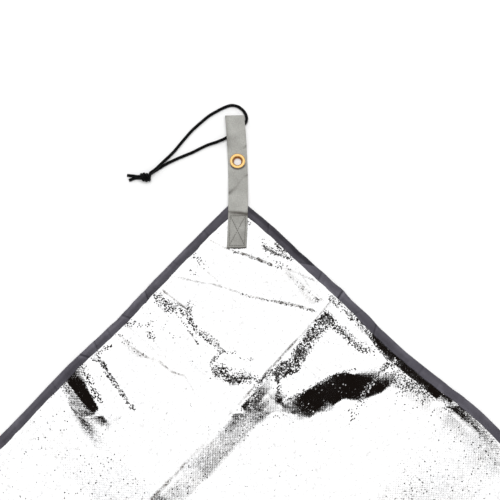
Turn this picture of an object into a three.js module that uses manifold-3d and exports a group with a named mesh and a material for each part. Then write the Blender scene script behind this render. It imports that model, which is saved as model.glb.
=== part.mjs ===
// Foil camping mat laid out flat, with bound edges and a strap, an eyelet and an elastic tie at each corner.
// Millimetres, +Z up. The mat lies on z = 0, its long side along X, its middle at the origin.
import * as THREE from "three";
import { mergeVertices } from "three/addons/utils/BufferGeometryUtils.js";
import Module from "manifold-3d";

const wasm = await Module();
wasm.setup();

// Driving dimensions
const matLength = 2000;
const matWidth = 1500;
const gap = 0.3; // between pieces that touch

const sheetThickness = 1;
const foldsLong = 12; // panels that the mat folds into along its length
const foldsWide = 8; // and across it
const pitchLong = matLength / foldsLong;
const pitchWide = matWidth / foldsWide;

const tapeThickness = 0.8;
const tapeShows = 12; // binding seen on each face
const tapeRound = 0.9; // rounding of its folded edge
const tapeFlat = 14; // strip along the edge that stays level across its width
const edgeRamp = 45; // by here the sheet is down on the ground
const edgeHold = 0.35; // share of a fold's height that the stiff binding lets through
const quietCorner = { from: 100, to: 170 }; // the folds die away towards each corner

const strapWidth = 25;
const strapThickness = 1.2;
const strapPitch = strapThickness + gap; // from one layer to the next
const strapSewnEnd = -69; // the strap's cut end, inside the mat's corner
const strapTip = 110.2; // the strap's folded end, outside it
const tunnelStart = 73; // from here to the tip the layers stand apart, round the cord
const tunnelHeight = 7;

const eyeletAt = 46.7; // from the mat's corner, along the strap
const eyeletRadius = 10;
const eyeletBarrel = 6;
const eyeletBore = 5.3;
const eyeletPlate = 0.8; // lower flange
const eyeletCrown = 1.3; // rolled upper flange
const eyeletLip = 0.3; // small roundings of its edges
const eyeletSides = 20;

const cordRadius = 2;
const cordSides = 8;
const cordSteps = 38;
const cordFloor = cordRadius + 0.05; // height of the cord's line where it lies on the ground

// The sheet's edges wander a little. "at" is measured from the corner where the edge starts.
const edgeWaves = [
  { edge: "north", at: 80, out: 0.7, reach: 90 },
  { edge: "north", at: 205, out: -1.1, reach: 45 },
  { edge: "north", at: 312, out: 1.5, reach: 45 },
  { edge: "north", at: 760, out: 4, reach: 170 },
  { edge: "north", at: 1420, out: -4, reach: 190 },
  { edge: "east", at: 60, out: 1.7, reach: 36 },
  { edge: "east", at: 150, out: 0.8, reach: 60 },
  { edge: "east", at: 275, out: -3.6, reach: 55 },
  { edge: "east", at: 405, out: 4, reach: 45 },
  { edge: "east", at: 820, out: 4, reach: 200 },
  { edge: "south", at: 430, out: -4, reach: 180 },
  { edge: "south", at: 1260, out: 5, reach: 220 },
  { edge: "west", at: 360, out: 4, reach: 150 },
  { edge: "west", at: 1010, out: -4, reach: 170 },
];

// Fold lines left by the pack, raised where the fold stands up. "line" counts the folds from the north-east corner.
// The crest falls away over "near" towards that corner and over "far" on the other side.
const foldsAcrossLength = [
  { line: 2, rise: 3.5, near: 50, far: 60 },
  { line: 3, rise: 5, near: 84, far: 84 },
  { line: 5, rise: 4, near: 84, far: 84 },
  { line: 7, rise: 6, near: 84, far: 84 },
  { line: 9, rise: 4.5, near: 84, far: 84 },
  { line: 11, rise: 4, near: 84, far: 84 },
];
const foldsAcrossWidth = [
  { line: 1, rise: 4.5, near: 94, far: 32 },
  { line: 2, rise: 4, near: 63, far: 94 },
  { line: 3, rise: 3, near: 94, far: 94 },
  { line: 5, rise: 5.5, near: 94, far: 94 },
  { line: 7, rise: 3.5, near: 94, far: 94 },
];

// Shorter creases near the north-east corner: "a" runs along the north edge from it, "b" along the east edge.
const creases = [
  { name: "cross fold", a0: 163, b0: 14, a1: 168, b1: 124, rise: 4, left: 30, right: 30 },
  { name: "cross fold, second run", a0: 187, b0: 128, a1: 167, b1: 180, rise: 2, left: 30, right: 30 },
  { name: "slack of the second panel", a0: 140, b0: 240, a1: 42, b1: 290, rise: 5, left: 62, right: 32 },
  { name: "left edge tuck", a0: 286, b0: 14, a1: 293, b1: 80, rise: 3, left: 30, right: 30 },
];

// Fittings at the corners: "facing" is the way the strap points, "turn" and "shift" how it was sewn on,
// "bow" how far its middle stands to the right, "side" the side to which the tie lies.
const corners = [
  { name: "ne", x: 1, y: 1, facing: 45, turn: -0.7, shift: -2, bow: 3.2, side: -1 },
  { name: "nw", x: -1, y: 1, facing: 135, turn: 0.8, shift: 1, bow: -2.2, side: 1 },
  { name: "sw", x: -1, y: -1, facing: 225, turn: -0.6, shift: 1, bow: 1.6, side: -1 },
  { name: "se", x: 1, y: -1, facing: 315, turn: 1.2, shift: -1, bow: -2.8, side: 1 },
];

// Underside of the strap's lower layer, from its sewn end over the binding to the ground
const strapUnderside = [
  { along: strapSewnEnd, z: 1.6 },
  { along: -58, z: 2.1 },
  { along: -46, z: 2.9 },
  { along: -34, z: 3.5 },
  { along: -16, z: 3.5 },
  { along: 2, z: 3.5 },
  { along: 22, z: eyeletPlate + gap },
  { along: eyeletAt - eyeletRadius, z: eyeletPlate + gap },
  { along: eyeletAt + eyeletRadius + 1, z: eyeletPlate + gap },
  { along: tunnelStart, z: 0 },
];

// The tie's route from the knot, through the strap's tunnel and back, with "out" to the tie's own side
const tieRoute = [
  { out: 108.6, along: 32.6, z: 2.3 },
  { out: 102.6, along: 36.7, z: cordFloor },
  { out: 97.5, along: 39.8, z: cordFloor },
  { out: 92.3, along: 43.4, z: cordFloor },
  { out: 86.5, along: 46.6, z: cordFloor },
  { out: 76.2, along: 51.6, z: cordFloor },
  { out: 65.8, along: 56.1, z: cordFloor },
  { out: 55.4, along: 60.4, z: cordFloor },
  { out: 45, along: 65.8, z: cordFloor },
  { out: 34.5, along: 70.6, z: 2.2 },
  { out: 24.1, along: 73.8, z: 2.9 },
  { out: 12.5, along: 78.6, z: 3.5 },
  { out: 0, along: 87.2, z: 3.5 },
  { out: -9.5, along: 94.9, z: 3.5 },
  { out: -14, along: 99.5, z: 3.4 },
  { out: -15.7, along: 104.6, z: 2.8 },
  { out: -15.3, along: 109.3, z: 2.3 },
  { out: -13.3, along: 114.4, z: 2.1 },
  { out: -9.6, along: 119.2, z: cordFloor },
  { out: -3.7, along: 123.4, z: cordFloor },
  { out: 4.3, along: 124.9, z: cordFloor },
  { out: 12.5, along: 122.5, z: cordFloor },
  { out: 24.1, along: 116.5, z: cordFloor },
  { out: 34.2, along: 110.2, z: cordFloor },
  { out: 44.8, along: 101, z: cordFloor },
  { out: 55.3, along: 91.3, z: cordFloor },
  { out: 65.8, along: 79, z: cordFloor },
  { out: 76.2, along: 66, z: cordFloor },
  { out: 81.3, along: 59.8, z: 2.3 },
  { out: 86.5, along: 54.2, z: 3.2 },
  { out: 92.1, along: 47.9, z: 5.1 },
  { out: 97.2, along: 42.4, z: 6.2 },
  { out: 102.2, along: 37.2, z: 6.7 },
  { out: 108.4, along: 32.4, z: 6.7 },
];

const knotOut = 116;
const knotAlong = 26.6;
const knotLength = 14.2; // along the tails
const knotWidth = 13.6;
const knotHeight = 9;
const knotLump = 0.09; // how far the wraps stand out, as a share of the radius
const knotNeck = 7; // the strands' last stretch, inside the knot
// The free ends, from where each leaves the knot: one lies partly on the other
const tails = [
  [
    { out: 129.4, along: 29.1, z: 3.6 },
    { out: 139.5, along: 30.4, z: 2.3 },
  ],
  [
    { out: 129.5, along: 26.4, z: cordFloor },
    { out: 137.4, along: 23.6, z: cordFloor },
  ],
];

const finishes = {
  foil: { color: 0xd9dadb, roughness: 0.22, metalness: 1 },
  tape: { color: 0x58555f, roughness: 0.8, metalness: 0 },
  webbing: { color: 0xa8a8a4, roughness: 0.85, metalness: 0 },
  brass: { color: 0xe0a955, roughness: 0.3, metalness: 1 },
  cord: { color: 0x1c1c1c, roughness: 0.6, metalness: 0 },
};

function mesh(name, geometry, finish) {
  const piece = new THREE.Mesh(geometry, new THREE.MeshStandardMaterial(finishes[finish]));
  piece.name = name;
  return piece;
}

function smooth(from, to, value) {
  return THREE.MathUtils.smoothstep(value, from, to);
}

// A closed body from rows of points: each row is a ring, the rows are joined in turn and the ends capped by fans
function loft(rings) {
  const size = rings[0].length;
  const points = rings.flat();
  const index = [];
  for (let row = 0; row < rings.length - 1; row++) {
    for (let i = 0; i < size; i++) {
      const here = row * size + i;
      const next = row * size + ((i + 1) % size);
      index.push(here, next, next + size);
      index.push(here, next + size, here + size);
    }
  }
  const outline = rings[0].map((p) => p.flatPoint);
  const last = (rings.length - 1) * size;
  for (const [p, q, r] of THREE.ShapeUtils.triangulateShape(outline, [])) {
    index.push(p, q, r);
    index.push(last + p, last + r, last + q);
  }
  return indexed(points, index);
}

function indexed(points, index) {
  const geometry = new THREE.BufferGeometry();
  geometry.setAttribute("position", new THREE.Float32BufferAttribute(points.flatMap((p) => [p.x, p.y, p.z]), 3));
  geometry.setIndex(index);
  geometry.computeVertexNormals();
  return geometry;
}

function toSolid(geometry) {
  const bare = geometry.clone();
  bare.deleteAttribute("normal");
  bare.deleteAttribute("uv");
  const merged = mergeVertices(bare);
  const vertProperties = new Float32Array(merged.getAttribute("position").array);
  const triVerts = new Uint32Array(merged.getIndex().array);
  return new wasm.Manifold(new wasm.Mesh({ numProp: 3, vertProperties, triVerts }));
}

function fromSolid(solid) {
  const result = solid.getMesh();
  const geometry = new THREE.BufferGeometry();
  geometry.setAttribute("position", new THREE.BufferAttribute(new Float32Array(result.vertProperties), 3));
  geometry.setIndex(new THREE.BufferAttribute(new Uint32Array(result.triVerts), 1));
  geometry.computeVertexNormals();
  return geometry;
}

// The sheet's ground shape

const edgeLengths = { north: matLength, south: matLength, east: matWidth, west: matWidth };

// How far an edge stands out of its straight line at a distance along it
function edgeShift(edge, along) {
  const length = edgeLengths[edge];
  const square = smooth(tapeFlat + 2, edgeRamp, along) * smooth(tapeFlat + 2, edgeRamp, length - along);
  const waves = edgeWaves.filter((wave) => wave.edge === edge);
  const sum = waves.reduce((total, wave) => total + wave.out * Math.exp(-(((along - wave.at) / wave.reach) ** 2)), 0);
  return sum * square;
}

function crest(offset, near, far) {
  const reach = offset < 0 ? near : far;
  return Math.max(0, 1 - Math.abs(offset) / reach);
}

function creaseHeight(crease, a, b) {
  const run = new THREE.Vector2(crease.a1 - crease.a0, crease.b1 - crease.b0);
  const from = new THREE.Vector2(a - crease.a0, b - crease.b0);
  const share = THREE.MathUtils.clamp(from.dot(run) / run.lengthSq(), 0, 1);
  const apart = from.clone().addScaledVector(run, -share).length();
  const reach = run.cross(from) > 0 ? crease.left : crease.right;
  return crease.rise * Math.max(0, 1 - apart / reach);
}

// Height of the sheet's underside, with a and b measured from the north-east corner
function underside(a, b) {
  const alongLength = THREE.MathUtils.clamp(a, tapeFlat, matLength - tapeFlat);
  const alongWidth = THREE.MathUtils.clamp(b, tapeFlat, matWidth - tapeFlat);
  const inLength = Math.min(alongLength, matLength - alongLength);
  const inWidth = Math.min(alongWidth, matWidth - alongWidth);
  const inside = Math.min(inLength, inWidth);
  const lift = (tapeThickness + gap) * THREE.MathUtils.clamp((edgeRamp - inside) / (edgeRamp - tapeFlat), 0, 1);
  let folds = 0;
  for (const fold of foldsAcrossLength) {
    const hold = THREE.MathUtils.lerp(edgeHold, 1, smooth(tapeFlat, pitchWide, inWidth));
    folds += hold * fold.rise * crest(alongLength - fold.line * pitchLong, fold.near, fold.far);
  }
  for (const fold of foldsAcrossWidth) {
    const hold = THREE.MathUtils.lerp(edgeHold, 1, smooth(tapeFlat, pitchLong, inLength));
    folds += hold * fold.rise * crest(alongWidth - fold.line * pitchWide, fold.near, fold.far);
  }
  for (const crease of creases) {
    folds += creaseHeight(crease, alongLength, alongWidth);
  }
  return lift + folds * smooth(quietCorner.from, quietCorner.to, Math.hypot(inLength, inWidth));
}

// Place of a point of the mat, with the wander of the edges dying away inside it
function matPlace(a, b) {
  const share = (inside) => 1 - smooth(edgeRamp, pitchLong, inside);
  const east = edgeShift("east", b) * share(a);
  const west = edgeShift("west", b) * share(matLength - a);
  const north = edgeShift("north", a) * share(b);
  const south = edgeShift("south", a) * share(matWidth - b);
  return { x: matLength / 2 - a + east - west, y: matWidth / 2 - b + north - south };
}

// Grid lines: close together in the north-east panels, then two for each fold
function gridLines(length, pitch) {
  const inEdge = [0, tapeFlat, (tapeFlat + edgeRamp) / 2, edgeRamp];
  const lines = [...inEdge];
  for (let at = pitch / 3; at < 2 * pitch + 1; at += pitch / 6) {
    lines.push(at);
  }
  for (let at = 2.5 * pitch; at < length - edgeRamp - 1; at += pitch / 2) {
    lines.push(at);
  }
  lines.push(length - edgeRamp, length - tapeFlat, length);
  return lines;
}

const linesLong = gridLines(matLength, pitchLong);
const linesWide = gridLines(matWidth, pitchWide);

function foilSheet() {
  const rim = tapeThickness + gap; // the sheet's own edge stops inside the binding
  const inset = (at, length) => THREE.MathUtils.clamp(at, rim, length - rim);
  const points = [];
  for (const thickness of [0, sheetThickness]) {
    for (const a of linesLong) {
      for (const b of linesWide) {
        const place = matPlace(inset(a, matLength), inset(b, matWidth));
        points.push(new THREE.Vector3(place.x, place.y, underside(a, b) + thickness));
      }
    }
  }
  const rows = linesLong.length;
  const columns = linesWide.length;
  const top = rows * columns;
  const index = [];
  for (let i = 0; i < rows - 1; i++) {
    for (let j = 0; j < columns - 1; j++) {
      const p = i * columns + j;
      const q = p + columns;
      index.push(p, p + 1, q + 1, p, q + 1, q);
      index.push(top + p, top + q + 1, top + p + 1, top + p, top + q, top + q + 1);
    }
  }
  const wall = (p, q) => index.push(q, p, top + p, q, top + p, top + q);
  for (let i = 0; i < rows - 1; i++) {
    wall((i + 1) * columns, i * columns);
    wall(i * columns + columns - 1, (i + 1) * columns + columns - 1);
  }
  for (let j = 0; j < columns - 1; j++) {
    wall(j, j + 1);
    wall((rows - 1) * columns + j + 1, (rows - 1) * columns + j);
  }
  return mesh("foil_sheet", indexed(points, index), "foil");
}

// Section of the folded tape: distance in from the mat's edge, and height above the sheet's underside less the tape
const tapeTop = 2 * (tapeThickness + gap) + sheetThickness;
const tapeSection = [
  { inside: tapeShows, z: 0 },
  { inside: tapeRound, z: 0 },
  { inside: 0, z: tapeRound },
  { inside: 0, z: tapeTop - tapeRound },
  { inside: tapeRound, z: tapeTop },
  { inside: tapeShows, z: tapeTop },
  { inside: tapeShows, z: tapeTop - tapeThickness },
  { inside: tapeThickness, z: tapeTop - tapeThickness },
  { inside: tapeThickness, z: tapeThickness },
  { inside: tapeShows, z: tapeThickness },
];

function binding(edge) {
  const length = edgeLengths[edge];
  const lines = length === matLength ? linesLong : linesWide;
  const stations = lines.filter((at) => at >= tapeFlat && at <= length - tapeFlat);
  const level = tapeThickness + gap;
  const place = (along, inside) => {
    const a = { north: along, south: along, east: inside, west: matLength - inside }[edge];
    const b = { north: inside, south: matWidth - inside, east: along, west: along }[edge];
    return { ...matPlace(a, b), z: underside(a, b) - level };
  };
  const ring = (alongAt) =>
    tapeSection.map((corner) => {
      const at = place(alongAt(corner), corner.inside);
      const point = new THREE.Vector3(at.x, at.y, at.z + corner.z);
      point.flatPoint = new THREE.Vector2(corner.inside, corner.z);
      return point;
    });
  const rings = [
    ring((corner) => corner.inside + gap),
    ...stations.map((at) => ring(() => at)),
    ring((corner) => length - corner.inside - gap),
  ];
  if (edge === "north" || edge === "west") {
    rings.reverse();
  }
  return mesh(`binding_${edge}`, loft(rings), "tape");
}

// How far the strap's middle line bows sideways at a place along it
function bowAt(bow, along) {
  const middle = (strapTip + strapSewnEnd) / 2;
  const half = (strapTip - strapSewnEnd) / 2;
  return bow * (1 - ((along - middle) / half) ** 2);
}

// Height of the strap's lower layer along it
function strapLevel(along) {
  const rows = strapUnderside;
  const next = rows.findIndex((row) => row.along > along);
  if (next < 1) {
    return next === 0 ? rows[0].z : 0;
  }
  const [from, to] = [rows[next - 1], rows[next]];
  return THREE.MathUtils.lerp(from.z, to.z, (along - from.along) / (to.along - from.along));
}

// The webbing seen from its side: out along the ground, round the folded end and back over itself
function strapOutline() {
  const foldRadius = tunnelHeight / 2;
  const foldCentre = strapTip - foldRadius;
  const liftOff = eyeletAt + eyeletRadius + 1; // where the upper layer starts to rise
  const upper = (along) => {
    const laid = strapLevel(along) + strapPitch;
    const opening = smooth(liftOff, tunnelStart, along);
    return THREE.MathUtils.lerp(laid, tunnelHeight - strapThickness, opening);
  };
  const stops = strapUnderside.map((row) => row.along);
  const rise = [1 / 3, 2 / 3].map((share) => THREE.MathUtils.lerp(liftOff, tunnelStart, share));
  const upperStops = [...stops, ...rise].sort((p, q) => p - q);
  const shape = new THREE.Shape();
  stops.forEach((along, i) => {
    if (i === 0) {
      shape.moveTo(along, strapLevel(along));
    } else {
      shape.lineTo(along, strapLevel(along));
    }
  });
  shape.lineTo(foldCentre, 0);
  shape.absarc(foldCentre, foldRadius, foldRadius, -Math.PI / 2, Math.PI / 2, false);
  upperStops.toReversed().forEach((along) => shape.lineTo(along, upper(along) + strapThickness));
  upperStops.forEach((along) => shape.lineTo(along, upper(along)));
  shape.lineTo(foldCentre, tunnelHeight - strapThickness);
  shape.absarc(foldCentre, foldRadius, foldRadius - strapThickness, Math.PI / 2, -Math.PI / 2, true);
  stops.toReversed().forEach((along) => shape.lineTo(along, strapLevel(along) + strapThickness));
  return shape;
}

// Turns a shape drawn in (along, height) into the fittings' frame, with its thickness across
const acrossStrap = new THREE.Matrix4().makeBasis(
  new THREE.Vector3(0, 1, 0),
  new THREE.Vector3(0, 0, 1),
  new THREE.Vector3(1, 0, 0),
);

function strap(name, bow) {
  const band = new THREE.ExtrudeGeometry(strapOutline(), {
    depth: strapWidth,
    bevelEnabled: false,
    curveSegments: 5,
  });
  band.applyMatrix4(acrossStrap);
  const place = band.getAttribute("position");
  for (let i = 0; i < place.count; i++) {
    place.setX(i, place.getX(i) - strapWidth / 2 + bowAt(bow, place.getY(i)));
  }
  const drillLength = 4 * tunnelHeight; // well past both layers
  const drill = new THREE.CylinderGeometry(eyeletBarrel + gap, eyeletBarrel + gap, drillLength, eyeletSides);
  drill.rotateX(Math.PI / 2);
  drill.translate(bowAt(bow, eyeletAt), eyeletAt, 0);
  return mesh(`strap_${name}`, fromSolid(toSolid(band).subtract(toSolid(drill))), "webbing");
}

function eyelet(name, bow) {
  const seat = eyeletPlate + gap + strapPitch + strapThickness + gap; // under the upper flange
  const top = seat + eyeletCrown;
  const profile = [
    { radius: eyeletBore + eyeletLip, z: 0 },
    { radius: eyeletRadius, z: 0 },
    { radius: eyeletRadius, z: eyeletPlate },
    { radius: eyeletBarrel, z: eyeletPlate },
    { radius: eyeletBarrel, z: seat },
    { radius: eyeletRadius - eyeletLip, z: seat },
    { radius: eyeletRadius, z: seat + 0.4 * eyeletCrown },
    { radius: 0.88 * eyeletRadius, z: top },
    { radius: 0.74 * eyeletRadius, z: top - eyeletLip },
    { radius: eyeletBore + eyeletLip, z: seat - eyeletLip },
    { radius: eyeletBore, z: seat - eyeletCrown },
    { radius: eyeletBore + eyeletLip, z: 0 },
  ];
  const ring = new THREE.LatheGeometry(
    profile.map((row) => new THREE.Vector2(row.radius, row.z)),
    eyeletSides,
  );
  ring.rotateX(Math.PI / 2);
  ring.translate(bowAt(bow, eyeletAt), eyeletAt, 0);
  return mesh(`eyelet_${name}`, ring, "brass");
}

function roundSection(radius, sides) {
  const section = new THREE.Shape();
  for (let i = 0; i < sides; i++) {
    const angle = (2 * Math.PI * (i + 0.5)) / sides;
    section[i === 0 ? "moveTo" : "lineTo"](radius * Math.cos(angle), radius * Math.sin(angle));
  }
  section.closePath();
  return section;
}

function tube(curve, steps) {
  return new THREE.ExtrudeGeometry(roundSection(cordRadius, cordSides), { steps, extrudePath: curve });
}

function tieLine(side) {
  const points = tieRoute.map((stop) => new THREE.Vector3(side * stop.out, stop.along, stop.z));
  return new THREE.CatmullRomCurve3(points, false, "centripetal");
}

function tieCord(name, side) {
  return mesh(`cord_${name}`, tube(tieLine(side), cordSteps), "cord");
}

// A strand's last stretch, from just past the tie's end into the knot
function neck(line, end) {
  const inward = line.getTangent(end).multiplyScalar(end === 0 ? -1 : 1);
  const mouth = line.getPoint(end).addScaledVector(inward, gap);
  return tube(new THREE.LineCurve3(mouth, mouth.clone().addScaledVector(inward, knotNeck)), 1);
}

// The overhand knot: a rounded body with slanting wraps, and the cord's two free ends
function knot(name, side) {
  const body = new THREE.SphereGeometry(0.5, 16, 10);
  const place = body.getAttribute("position");
  for (let i = 0; i < place.count; i++) {
    const point = new THREE.Vector3().fromBufferAttribute(place, i);
    const around = Math.atan2(point.z, point.x);
    const wrap = 1 + knotLump * Math.cos(3 * around + 7 * point.y) * (1 - 4 * point.y ** 2);
    place.setXYZ(i, -point.y * knotLength, point.x * wrap * knotWidth, point.z * wrap * knotHeight);
  }
  body.translate(side * knotOut, knotAlong, (knotHeight * (1 + knotLump)) / 2);
  const line = tieLine(side);
  let solid = toSolid(body).add(toSolid(neck(line, 0))).add(toSolid(neck(line, 1)));
  for (const tail of tails) {
    const root = new THREE.Vector3(side * knotOut, knotAlong, knotHeight / 2);
    const stops = tail.map((stop) => new THREE.Vector3(side * stop.out, stop.along, stop.z));
    const path = new THREE.CatmullRomCurve3([root, ...stops], false, "centripetal");
    solid = solid.add(toSolid(tube(path, 5)));
  }
  return mesh(`knot_${name}`, fromSolid(solid), "cord");
}

const mat = new THREE.Group();
mat.add(foilSheet());
for (const edge of ["north", "east", "south", "west"]) {
  mat.add(binding(edge));
}
for (const corner of corners) {
  const fittings = new THREE.Group();
  fittings.rotation.z = THREE.MathUtils.degToRad(corner.facing + corner.turn - 90);
  const across = new THREE.Vector3(corner.shift, 0, 0).applyEuler(fittings.rotation);
  fittings.position.set((corner.x * matLength) / 2, (corner.y * matWidth) / 2, 0).add(across);
  fittings.add(strap(corner.name, corner.bow));
  fittings.add(eyelet(corner.name, corner.bow));
  fittings.add(tieCord(corner.name, corner.side));
  fittings.add(knot(corner.name, corner.side));
  mat.add(fittings);
}

export default mat;
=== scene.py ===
import math
import random

import bpy
import numpy as np
from mathutils import Matrix, Vector


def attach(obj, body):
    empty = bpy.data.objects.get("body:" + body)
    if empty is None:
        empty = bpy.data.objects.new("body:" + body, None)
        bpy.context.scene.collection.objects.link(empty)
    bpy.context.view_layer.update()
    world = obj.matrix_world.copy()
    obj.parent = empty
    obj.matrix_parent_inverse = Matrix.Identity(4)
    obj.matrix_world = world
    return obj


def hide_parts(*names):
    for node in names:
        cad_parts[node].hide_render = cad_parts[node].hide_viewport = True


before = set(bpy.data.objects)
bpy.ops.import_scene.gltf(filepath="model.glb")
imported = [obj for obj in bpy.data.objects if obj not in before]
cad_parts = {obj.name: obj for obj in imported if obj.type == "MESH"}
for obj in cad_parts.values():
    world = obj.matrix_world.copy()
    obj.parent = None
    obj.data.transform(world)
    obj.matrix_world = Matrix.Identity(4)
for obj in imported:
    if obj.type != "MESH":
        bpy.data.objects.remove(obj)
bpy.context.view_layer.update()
mm = 0.001

# the mat's own sizes in mm, the same as the solids have
mat = {"length": 2000, "width": 1500, "foldsLong": 12, "foldsWide": 8, "sheet": 1.0, "gap": 0.3}
pitchLong = mat["length"] / mat["foldsLong"]
pitchWide = mat["width"] / mat["foldsWide"]


# camera

photoView = {
    "elevation": 75.5,
    "heading": 43.28,
    "distance": 1.3,
    "lens": 72.8,
    "right": 0.0162,
    "down": 0.0687,
    "foilFacing": 79.0,  # elevation that the middle of the foil mirrors
}


def addCamera():
    lift = math.radians(photoView["elevation"])
    turn = math.radians(photoView["heading"])
    ahead = Vector((math.cos(turn), math.sin(turn), 0))
    right = Vector((ahead.y, -ahead.x, 0))
    look = ahead * math.cos(lift) - Vector((0, 0, math.sin(lift)))
    up = ahead * math.sin(lift) + Vector((0, 0, math.cos(lift)))
    corner = Vector((mat["length"] / 2, mat["width"] / 2, 0)) * mm
    place = corner + right * photoView["right"] - up * photoView["down"] - look * photoView["distance"]
    bpy.ops.object.camera_add()
    camera = bpy.context.object
    camera.data.lens = photoView["lens"]
    camera.data.sensor_width = 36
    camera.data.clip_end = 100
    turned = Matrix((right, up, -look)).transposed()
    camera.matrix_world = Matrix.Translation(place) @ turned.to_4x4()
    bpy.context.scene.camera = camera
    print("camera placed")
    facing = math.radians(photoView["foilFacing"])
    return ahead * math.cos(facing) + Vector((0, 0, math.sin(facing)))  # where the level foil looks


# small helpers

roundAngle = math.radians(50)  # edges blunter than this look round


def setMode(mode):
    bpy.ops.object.mode_set(mode=mode)


def deselect():
    if bpy.context.object and bpy.context.object.mode != "OBJECT":
        setMode("OBJECT")
    bpy.ops.object.select_all(action="DESELECT")


def pickOnly(piece):
    deselect()
    piece.select_set(True)
    bpy.context.view_layer.objects.active = piece


def nameIt(piece, name):
    piece.name = name
    piece.data.name = name
    return piece


def newPiece(name, points, faces):
    mesh = bpy.data.meshes.new(name)
    mesh.from_pydata([tuple(p) for p in points], [], faces)
    piece = bpy.data.objects.new(name, mesh)
    bpy.context.scene.collection.objects.link(piece)
    return piece


def copyPiece(model, name):
    piece = model.copy()
    piece.data = model.data.copy()
    bpy.context.scene.collection.objects.link(piece)
    return nameIt(piece, name)


def addGrid(name, columns, rows):
    deselect()
    bpy.ops.mesh.primitive_grid_add(x_subdivisions=columns, y_subdivisions=rows, size=1, location=(0, 0, 0))
    return nameIt(bpy.context.object, name)


def pointsOf(piece):
    flat = np.empty(len(piece.data.vertices) * 3)
    piece.data.vertices.foreach_get("co", flat)
    return flat.reshape(-1, 3)


def setPoints(piece, points):
    piece.data.vertices.foreach_set("co", np.ascontiguousarray(points, dtype=np.float32).ravel())
    piece.data.update()


def setAttribute(piece, key, values):
    attribute = piece.data.attributes.new(key, "FLOAT", "POINT")
    attribute.data.foreach_set("value", values.astype(np.float32))


def applyModifier(piece, kind, **settings):
    pickOnly(piece)
    modifier = piece.modifiers.new(kind.lower(), kind)
    for key, value in settings.items():
        setattr(modifier, key, value)
    bpy.ops.object.modifier_apply(modifier=modifier.name)


def outwardFaces(piece):
    pickOnly(piece)
    setMode("EDIT")
    bpy.ops.mesh.select_all(action="SELECT")
    bpy.ops.mesh.normals_make_consistent(inside=False)
    setMode("OBJECT")


def finishPiece(piece, material, slot, *nodes):
    piece.data.materials.clear()
    piece.data.materials.append(material)
    pickOnly(piece)
    bpy.ops.object.shade_smooth_by_angle(angle=roundAngle)
    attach(piece, "root")
    if nodes:
        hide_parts(*nodes)


def smooth(low, high, value):
    share = np.clip((value - low) / (high - low), 0, 1)
    return share * share * (3 - 2 * share)


def bell(offset, reach):
    return np.exp(-((offset / reach) ** 2))


# the distance run at each point of a line
def runOf(line):
    return np.concatenate(([0], np.cumsum(np.linalg.norm(np.diff(line, axis=0), axis=1))))


# the four corners and what is sewn on them

cornerRows = [
    {"name": "ne", "x": 1, "y": 1, "facing": 45, "turn": -0.7, "shift": -2, "bow": 3.2, "side": -1},
    {"name": "nw", "x": -1, "y": 1, "facing": 135, "turn": 0.8, "shift": 1, "bow": -2.2, "side": 1},
    {"name": "sw", "x": -1, "y": -1, "facing": 225, "turn": -0.6, "shift": 1, "bow": 1.6, "side": -1},
    {"name": "se", "x": 1, "y": -1, "facing": 315, "turn": 1.2, "shift": -1, "bow": -2.8, "side": 1},
]


# from a corner's own frame in mm (across, along the strap, up) to the mat in metres
def fromCorner(corner, points):
    points = np.asarray(points, dtype=float)
    turn = math.radians(corner["facing"] + corner["turn"] - 90)
    across = points[:, 0] + corner["shift"]
    x = corner["x"] * mat["length"] / 2 + across * math.cos(turn) - points[:, 1] * math.sin(turn)
    y = corner["y"] * mat["width"] / 2 + across * math.sin(turn) + points[:, 1] * math.cos(turn)
    return np.column_stack((x, y, points[:, 2])) * mm


# materials


class Nodes:
    def __init__(self, tree):
        self.tree = tree

    def feed(self, socket, value):
        if isinstance(value, bpy.types.NodeSocket):
            self.tree.links.new(value, socket)
        else:
            socket.default_value = value

    def fill(self, node, **inputs):
        for key, value in inputs.items():
            self.feed(node.inputs[key.replace("_", " ")], value)

    def add(self, kind, settings=None, **inputs):
        node = self.tree.nodes.new(f"ShaderNode{kind}")
        for key, value in (settings or {}).items():
            setattr(node, key, value)
        self.fill(node, **inputs)
        return node

    def math(self, operation, *values):
        node = self.add("Math", {"operation": operation})
        for socket, value in zip(node.inputs, values):
            self.feed(socket, value)
        return node.outputs[0]

    def vector(self, operation, *values):
        node = self.add("VectorMath", {"operation": operation})
        sockets = [node.inputs[0], node.inputs["Scale"]] if operation == "SCALE" else node.inputs
        for socket, value in zip(sockets, values):
            self.feed(socket, value)
        return node.outputs["Value" if operation == "DOT_PRODUCT" else "Vector"]

    def mix(self, share, first, second, blend="MIX"):
        node = self.add("Mix", {"data_type": "RGBA", "blend_type": blend})
        for socket, value in ((0, share), (6, first), (7, second)):
            self.feed(node.inputs[socket], value)
        return node.outputs[2]

    def span(self, value, low, high, toLow, toHigh):
        node = self.add("MapRange")
        for socket, number in zip(node.inputs, (value, low, high, toLow, toHigh)):
            self.feed(socket, number)
        return node.outputs[0]

    def place(self, kind="Object"):
        return self.add("TexCoord").outputs[kind]

    def attribute(self, name):
        return self.add("Attribute", {"attribute_name": name}).outputs["Fac"]

    def noise(self, place, scale, detail, output="Fac"):
        return self.add("TexNoise", Vector=place, Scale=scale, Detail=detail).outputs[output]

    def chance(self, cells):
        cell = self.add("CombineXYZ", X=cells[0], Y=cells[1]).outputs["Vector"]
        return self.add("TexWhiteNoise", {"noise_dimensions": "2D"}, Vector=cell)

    def bump(self, height, distance, strength):
        return self.add("Bump", Height=height, Distance=distance, Strength=strength).outputs["Normal"]


def newMaterial(name):
    material = bpy.data.materials.new(name)
    material.use_nodes = True
    nodes = Nodes(material.node_tree)
    return material, nodes, material.node_tree.nodes["Principled BSDF"]


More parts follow.
